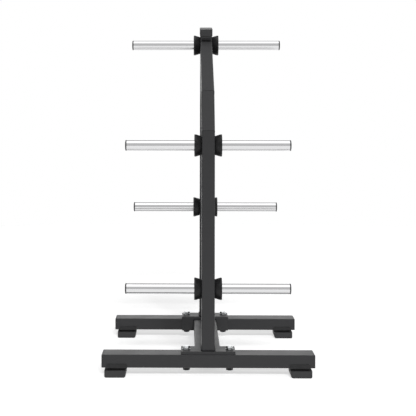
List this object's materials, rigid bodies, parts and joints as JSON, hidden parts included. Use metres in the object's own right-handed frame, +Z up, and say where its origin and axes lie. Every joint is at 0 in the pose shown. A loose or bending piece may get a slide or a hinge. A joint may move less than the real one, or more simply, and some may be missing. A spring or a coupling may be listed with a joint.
{
  "type": "weight plate tree",
  "caption": "Floor-standing storage tree for round weight plates: crosswise feet, bent front upright, leaning rear upright and paired side horns with rubber cones.",
  "frame": {"origin": "floor level, below the middle of the footprint", "axes": "+Z up, -Y towards the vertical front upright, +X along the horns to the right as seen from the front"},
  "size_m": [0.826, 0.8486, 1.4141],
  "materials": {
    "black_powder_coat": "glossy black powder coat on steel tube and plate",
    "moulded_plastic": "satin moulded black plastic",
    "rubber": "matt black rubber",
    "chrome_plate": "polished chrome plate",
    "zinc_plated_steel": "bright zinc plate",
    "black_oxide_steel": "black finish on steel"
  },
  "bodies": {
    "root": {"bolt_front_left": "zinc_plated_steel", "bolt_front_right": "zinc_plated_steel", "bolt_rear_left": "zinc_plated_steel", "bolt_rear_right": "zinc_plated_steel", "bolt_washer_front_left": "zinc_plated_steel", "bolt_washer_front_right": "zinc_plated_steel", "bolt_washer_rear_left": "zinc_plated_steel", "bolt_washer_rear_right": "zinc_plated_steel", "centre_beam": "black_powder_coat", "crown_gusset_left": "black_powder_coat", "crown_gusset_right": "black_powder_coat", "foot_end_cap_front_left": "moulded_plastic", "foot_end_cap_front_right": "moulded_plastic", "foot_end_cap_rear_left": "moulded_plastic", "foot_end_cap_rear_right": "moulded_plastic", "front_bracket": "black_powder_coat", "front_foot_tube": "black_powder_coat", "front_upright": "black_powder_coat", "front_upright_crown": "black_powder_coat", "front_upright_knee": "black_powder_coat", "horn_1_left": "chrome_plate", "horn_1_right": "chrome_plate", "horn_2_left": "chrome_plate", "horn_2_right": "chrome_plate", "horn_3_left": "chrome_plate", "horn_3_right": "chrome_plate", "horn_4_left": "chrome_plate", "horn_4_right": "chrome_plate", "horn_cap_1_left": "moulded_plastic", "horn_cap_1_right": "moulded_plastic", "horn_cap_2_left": "moulded_plastic", "horn_cap_2_right": "moulded_plastic", "horn_cap_3_left": "moulded_plastic", "horn_cap_3_right": "moulded_plastic", "horn_cap_4_left": "moulded_plastic", "horn_cap_4_right": "moulded_plastic", "horn_cone_1_left": "rubber", "horn_cone_1_right": "rubber", "horn_cone_2_left": "rubber", "horn_cone_2_right": "rubber", "horn_cone_3_left": "rubber", "horn_cone_3_right": "rubber", "horn_cone_4_left": "rubber", "horn_cone_4_right": "rubber", "nut_front_left": "black_oxide_steel", "nut_front_right": "black_oxide_steel", "nut_rear_left": "black_oxide_steel", "nut_rear_right": "black_oxide_steel", "nut_washer_front_left": "black_oxide_steel", "nut_washer_front_right": "black_oxide_steel", "nut_washer_rear_left": "black_oxide_steel", "nut_washer_rear_right": "black_oxide_steel", "rear_bracket": "black_powder_coat", "rear_foot_tube": "black_powder_coat", "rear_upright": "black_powder_coat", "rubber_foot_front_left": "rubber", "rubber_foot_front_right": "rubber", "rubber_foot_rear_left": "rubber", "rubber_foot_rear_right": "rubber", "upright_top_cap": "moulded_plastic"}
  },
  "joints": []
}
